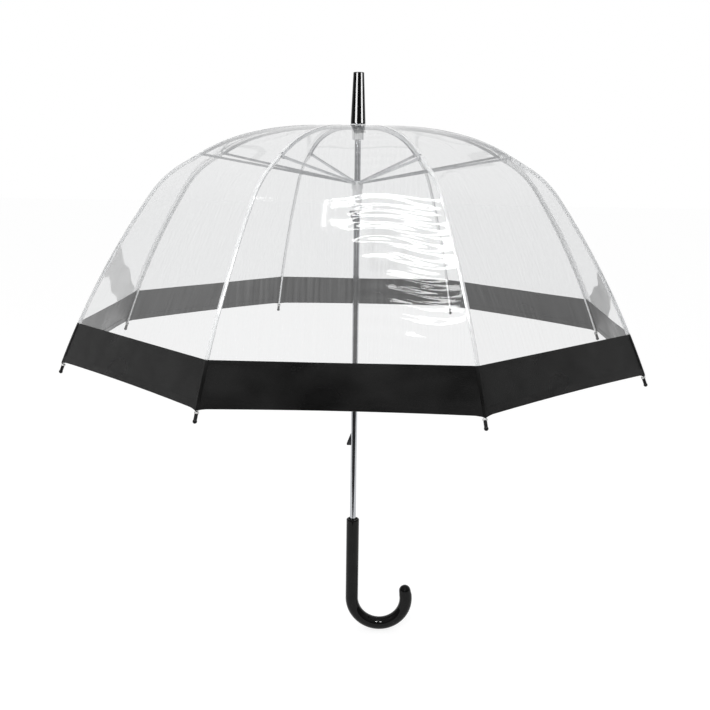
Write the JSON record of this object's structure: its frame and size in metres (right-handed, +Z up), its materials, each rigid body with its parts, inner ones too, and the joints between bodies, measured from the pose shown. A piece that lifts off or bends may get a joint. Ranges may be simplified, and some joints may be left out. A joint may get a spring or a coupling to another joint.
{
  "type": "stick umbrella",
  "caption": "Clear dome umbrella with a dark border, folding ribs on a sliding runner, a straight chrome pole and a dark crook handle.",
  "frame": {"origin": "on the pole's axis, at the middle of the handle's straight grip", "axes": "+Z up the pole towards the ferrule, +X towards the open side of the crook handle, which lies in the XZ plane"},
  "size_m": [0.7794, 0.7794, 0.8417],
  "materials": {
    "chrome_tube": "polished",
    "spring_steel": "satin",
    "black_gloss": "gloss",
    "pale_plastic": "satin, slightly milky",
    "rib_channel": "satin pale grey",
    "rib_rod": "glass-fibre white",
    "stretcher_channel": "satin",
    "clear_film": "clear, soft gloss",
    "clear_plastic": "clear",
    "black_film": "satin black film",
    "tip_black": "gloss"
  },
  "bodies": {
    "root": {"pole": "chrome_tube", "handle": "black_gloss", "crown": "pale_plastic", "crown_wire": "spring_steel", "rosette": "clear_plastic", "ferrule": "black_gloss"},
    "top_catch": {"top_catch": "spring_steel"},
    "bottom_catch": {"bottom_catch": "spring_steel"},
    "runner": {"runner": "pale_plastic", "runner_wire": "spring_steel"},
    "rib_inner_1": {"rib_inner_1": "rib_channel", "canopy_panel_1": "clear_film"},
    "rib_outer_1": {"rib_outer_1": "rib_rod", "rib_tip_1": "tip_black", "canopy_border_1": "black_film"},
    "stretcher_1": {"stretcher_1": "stretcher_channel"},
    "rib_inner_2": {"rib_inner_2": "rib_channel", "canopy_panel_2": "clear_film"},
    "rib_outer_2": {"rib_outer_2": "rib_rod", "rib_tip_2": "tip_black", "canopy_border_2": "black_film"},
    "stretcher_2": {"stretcher_2": "stretcher_channel"},
    "rib_inner_3": {"rib_inner_3": "rib_channel", "canopy_panel_3": "clear_film"},
    "rib_outer_3": {"rib_outer_3": "rib_rod", "rib_tip_3": "tip_black", "canopy_border_3": "black_film"},
    "stretcher_3": {"stretcher_3": "stretcher_channel"},
    "rib_inner_4": {"rib_inner_4": "rib_channel", "canopy_panel_4": "clear_film"},
    "rib_outer_4": {"rib_outer_4": "rib_rod", "rib_tip_4": "tip_black", "canopy_border_4": "black_film"},
    "stretcher_4": {"stretcher_4": "stretcher_channel"},
    "rib_inner_5": {"rib_inner_5": "rib_channel", "canopy_panel_5": "clear_film"},
    "rib_outer_5": {"rib_outer_5": "rib_rod", "rib_tip_5": "tip_black", "canopy_border_5": "black_film"},
    "stretcher_5": {"stretcher_5": "stretcher_channel"},
    "rib_inner_6": {"rib_inner_6": "rib_channel", "canopy_panel_6": "clear_film"},
    "rib_outer_6": {"rib_outer_6": "rib_rod", "rib_tip_6": "tip_black", "canopy_border_6": "black_film"},
    "stretcher_6": {"stretcher_6": "stretcher_channel"},
    "rib_inner_7": {"rib_inner_7": "rib_channel", "canopy_panel_7": "clear_film"},
    "rib_outer_7": {"rib_outer_7": "rib_rod", "rib_tip_7": "tip_black", "canopy_border_7": "black_film"},
    "stretcher_7": {"stretcher_7": "stretcher_channel"},
    "rib_inner_8": {"rib_inner_8": "rib_channel", "canopy_panel_8": "clear_film"},
    "rib_outer_8": {"rib_outer_8": "rib_rod", "rib_tip_8": "tip_black", "canopy_border_8": "black_film"},
    "stretcher_8": {"stretcher_8": "stretcher_channel"}
  },
  "joints": [
    {"name": "rib_1_fold", "type": "hinge", "parent": "root", "child": "rib_inner_1", "pos_m": [0.00647, 0.00268, 0.6475], "axis": [-0.3827, 0.9239, 0], "range_deg": [0, 76.1], "deforming": ["canopy_panel_1"]},
    {"name": "rib_1_bend", "type": "hinge", "parent": "rib_inner_1", "child": "rib_outer_1", "pos_m": [0.20603, 0.08534, 0.6095], "axis": [-0.3827, 0.9239, 0], "range_deg": [-44.38, 0], "deforming": ["canopy_border_1"]},
    {"name": "stretcher_1_turn", "type": "hinge", "parent": "rib_inner_1", "child": "stretcher_1", "pos_m": [0.20603, 0.08534, 0.6095], "axis": [-0.3827, 0.9239, 0], "range_deg": [-152.2, 0]},
    {"name": "rib_2_fold", "type": "hinge", "parent": "root", "child": "rib_inner_2", "pos_m": [0.00268, 0.00647, 0.6475], "axis": [-0.9239, 0.3827, 0], "range_deg": [0, 76.1], "deforming": ["canopy_panel_2"]},
    {"name": "rib_2_bend", "type": "hinge", "parent": "rib_inner_2", "child": "rib_outer_2", "pos_m": [0.08534, 0.20603, 0.6095], "axis": [-0.9239, 0.3827, 0], "range_deg": [-44.38, 0], "deforming": ["canopy_border_2"]},
    {"name": "stretcher_2_turn", "type": "hinge", "parent": "rib_inner_2", "child": "stretcher_2", "pos_m": [0.08534, 0.20603, 0.6095], "axis": [-0.9239, 0.3827, 0], "range_deg": [-152.2, 0]},
    {"name": "rib_3_fold", "type": "hinge", "parent": "root", "child": "rib_inner_3", "pos_m": [-0.00268, 0.00647, 0.6475], "axis": [-0.9239, -0.3827, 0], "range_deg": [0, 76.1], "deforming": ["canopy_panel_3"]},
    {"name": "rib_3_bend", "type": "hinge", "parent": "rib_inner_3", "child": "rib_outer_3", "pos_m": [-0.08534, 0.20603, 0.6095], "axis": [-0.9239, -0.3827, 0], "range_deg": [-44.38, 0], "deforming": ["canopy_border_3"]},
    {"name": "stretcher_3_turn", "type": "hinge", "parent": "rib_inner_3", "child": "stretcher_3", "pos_m": [-0.08534, 0.20603, 0.6095], "axis": [-0.9239, -0.3827, 0], "range_deg": [-152.2, 0]},
    {"name": "rib_4_fold", "type": "hinge", "parent": "root", "child": "rib_inner_4", "pos_m": [-0.00647, 0.00268, 0.6475], "axis": [-0.3827, -0.9239, 0], "range_deg": [0, 76.1], "deforming": ["canopy_panel_4"]},
    {"name": "rib_4_bend", "type": "hinge", "parent": "rib_inner_4", "child": "rib_outer_4", "pos_m": [-0.20603, 0.08534, 0.6095], "axis": [-0.3827, -0.9239, 0], "range_deg": [-44.38, 0], "deforming": ["canopy_border_4"]},
    {"name": "stretcher_4_turn", "type": "hinge", "parent": "rib_inner_4", "child": "stretcher_4", "pos_m": [-0.20603, 0.08534, 0.6095], "axis": [-0.3827, -0.9239, 0], "range_deg": [-152.2, 0]},
    {"name": "rib_5_fold", "type": "hinge", "parent": "root", "child": "rib_inner_5", "pos_m": [-0.00647, -0.00268, 0.6475], "axis": [0.3827, -0.9239, 0], "range_deg": [0, 76.1], "deforming": ["canopy_panel_5"]},
    {"name": "rib_5_bend", "type": "hinge", "parent": "rib_inner_5", "child": "rib_outer_5", "pos_m": [-0.20603, -0.08534, 0.6095], "axis": [0.3827, -0.9239, 0], "range_deg": [-44.38, 0], "deforming": ["canopy_border_5"]},
    {"name": "stretcher_5_turn", "type": "hinge", "parent": "rib_inner_5", "child": "stretcher_5", "pos_m": [-0.20603, -0.08534, 0.6095], "axis": [0.3827, -0.9239, 0], "range_deg": [-152.2, 0]},
    {"name": "rib_6_fold", "type": "hinge", "parent": "root", "child": "rib_inner_6", "pos_m": [-0.00268, -0.00647, 0.6475], "axis": [0.9239, -0.3827, 0], "range_deg": [0, 76.1], "deforming": ["canopy_panel_6"]},
    {"name": "rib_6_bend", "type": "hinge", "parent": "rib_inner_6", "child": "rib_outer_6", "pos_m": [-0.08534, -0.20603, 0.6095], "axis": [0.9239, -0.3827, 0], "range_deg": [-44.38, 0], "deforming": ["canopy_border_6"]},
    {"name": "stretcher_6_turn", "type": "hinge", "parent": "rib_inner_6", "child": "stretcher_6", "pos_m": [-0.08534, -0.20603, 0.6095], "axis": [0.9239, -0.3827, 0], "range_deg": [-152.2, 0]},
    {"name": "rib_7_fold", "type": "hinge", "parent": "root", "child": "rib_inner_7", "pos_m": [0.00268, -0.00647, 0.6475], "axis": [0.9239, 0.3827, 0], "range_deg": [0, 76.1], "deforming": ["canopy_panel_7"]},
    {"name": "rib_7_bend", "type": "hinge", "parent": "rib_inner_7", "child": "rib_outer_7", "pos_m": [0.08534, -0.20603, 0.6095], "axis": [0.9239, 0.3827, 0], "range_deg": [-44.38, 0], "deforming": ["canopy_border_7"]},
    {"name": "stretcher_7_turn", "type": "hinge", "parent": "rib_inner_7", "child": "stretcher_7", "pos_m": [0.08534, -0.20603, 0.6095], "axis": [0.9239, 0.3827, 0], "range_deg": [-152.2, 0]},
    {"name": "rib_8_fold", "type": "hinge", "parent": "root", "child": "rib_inner_8", "pos_m": [0.00647, -0.00268, 0.6475], "axis": [0.3827, 0.9239, 0], "range_deg": [0, 76.1], "deforming": ["canopy_panel_8"]},
    {"name": "rib_8_bend", "type": "hinge", "parent": "rib_inner_8", "child": "rib_outer_8", "pos_m": [0.20603, -0.08534, 0.6095], "axis": [0.3827, 0.9239, 0], "range_deg": [-44.38, 0], "deforming": ["canopy_border_8"]},
    {"name": "stretcher_8_turn", "type": "hinge", "parent": "rib_inner_8", "child": "stretcher_8", "pos_m": [0.20603, -0.08534, 0.6095], "axis": [0.3827, 0.9239, 0], "range_deg": [-152.2, 0]},
    {"name": "runner_on_stretcher", "type": "hinge", "parent": "stretcher_1", "child": "runner", "pos_m": [0.00647, 0.00268, 0.5715], "axis": [-0.3827, 0.9239, 0], "range_deg": [0, 76.1]},
    {"name": "top_catch_press", "type": "slide", "parent": "root", "child": "top_catch", "axis": [1, 0, 0], "range_m": [0, 0.006], "stiffness_N_per_m": 700},
    {"name": "bottom_catch_press", "type": "slide", "parent": "root", "child": "bottom_catch", "axis": [1, 0, 0], "range_m": [0, 0.006], "stiffness_N_per_m": 700}
  ],
  "couplings": [
    {"joint": "rib_1_bend", "follows": "rib_1_fold", "ratio": -0.583},
    {"joint": "stretcher_1_turn", "follows": "rib_1_fold", "ratio": -2},
    {"joint": "rib_2_fold", "follows": "rib_1_fold", "ratio": 1},
    {"joint": "rib_2_bend", "follows": "rib_1_fold", "ratio": -0.583},
    {"joint": "stretcher_2_turn", "follows": "rib_1_fold", "ratio": -2},
    {"joint": "rib_3_fold", "follows": "rib_1_fold", "ratio": 1},
    {"joint": "rib_3_bend", "follows": "rib_1_fold", "ratio": -0.583},
    {"joint": "stretcher_3_turn", "follows": "rib_1_fold", "ratio": -2},
    {"joint": "rib_4_fold", "follows": "rib_1_fold", "ratio": 1},
    {"joint": "rib_4_bend", "follows": "rib_1_fold", "ratio": -0.583},
    {"joint": "stretcher_4_turn", "follows": "rib_1_fold", "ratio": -2},
    {"joint": "rib_5_fold", "follows": "rib_1_fold", "ratio": 1},
    {"joint": "rib_5_bend", "follows": "rib_1_fold", "ratio": -0.583},
    {"joint": "stretcher_5_turn", "follows": "rib_1_fold", "ratio": -2},
    {"joint": "rib_6_fold", "follows": "rib_1_fold", "ratio": 1},
    {"joint": "rib_6_bend", "follows": "rib_1_fold", "ratio": -0.583},
    {"joint": "stretcher_6_turn", "follows": "rib_1_fold", "ratio": -2},
    {"joint": "rib_7_fold", "follows": "rib_1_fold", "ratio": 1},
    {"joint": "rib_7_bend", "follows": "rib_1_fold", "ratio": -0.583},
    {"joint": "stretcher_7_turn", "follows": "rib_1_fold", "ratio": -2},
    {"joint": "rib_8_fold", "follows": "rib_1_fold", "ratio": 1},
    {"joint": "rib_8_bend", "follows": "rib_1_fold", "ratio": -0.583},
    {"joint": "stretcher_8_turn", "follows": "rib_1_fold", "ratio": -2},
    {"joint": "runner_on_stretcher", "follows": "rib_1_fold", "ratio": 1}
  ]
}
